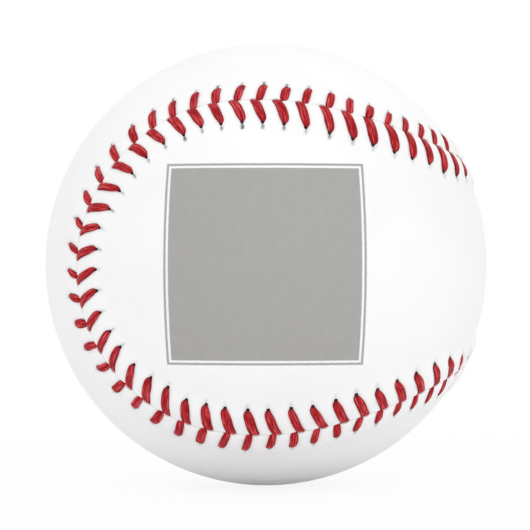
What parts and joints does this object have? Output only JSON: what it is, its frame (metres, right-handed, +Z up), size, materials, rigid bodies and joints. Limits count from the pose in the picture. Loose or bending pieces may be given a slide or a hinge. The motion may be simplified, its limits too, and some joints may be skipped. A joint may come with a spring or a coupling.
{
  "type": "baseball",
  "caption": "Leather covered ball with a cork and rubber centre, wound wool layers and a figure-of-eight two-panel cover closed by a raised double-stitched seam.",
  "frame": {"origin": "centre of the ball", "axes": "+X out through the neck of the front and back panel, -Y out through that panel's front lobe, +Z up through a lobe of the other panel"},
  "size_m": [0.074, 0.074, 0.074],
  "materials": {
    "cork": "matt, granular",
    "black_rubber": "matt",
    "red_rubber": "matt",
    "grey_wool": "wound wool",
    "white_wool": "wound wool",
    "finishing_yarn": "fine wound yarn",
    "cover_leather": "smooth satin, fine grain",
    "stitch_thread": "waxed, slight sheen"
  },
  "bodies": {
    "root": {"cork_core": "cork", "black_rubber_upper": "black_rubber", "black_rubber_lower": "black_rubber", "red_rubber_washer": "red_rubber", "red_rubber_layer": "red_rubber", "grey_wool_inner": "grey_wool", "white_wool": "white_wool", "grey_wool_outer": "grey_wool", "finishing_yarn": "finishing_yarn", "cover_front_back": "cover_leather", "cover_top_bottom": "cover_leather", "thread_first": "stitch_thread", "thread_second": "stitch_thread"}
  },
  "joints": []
}
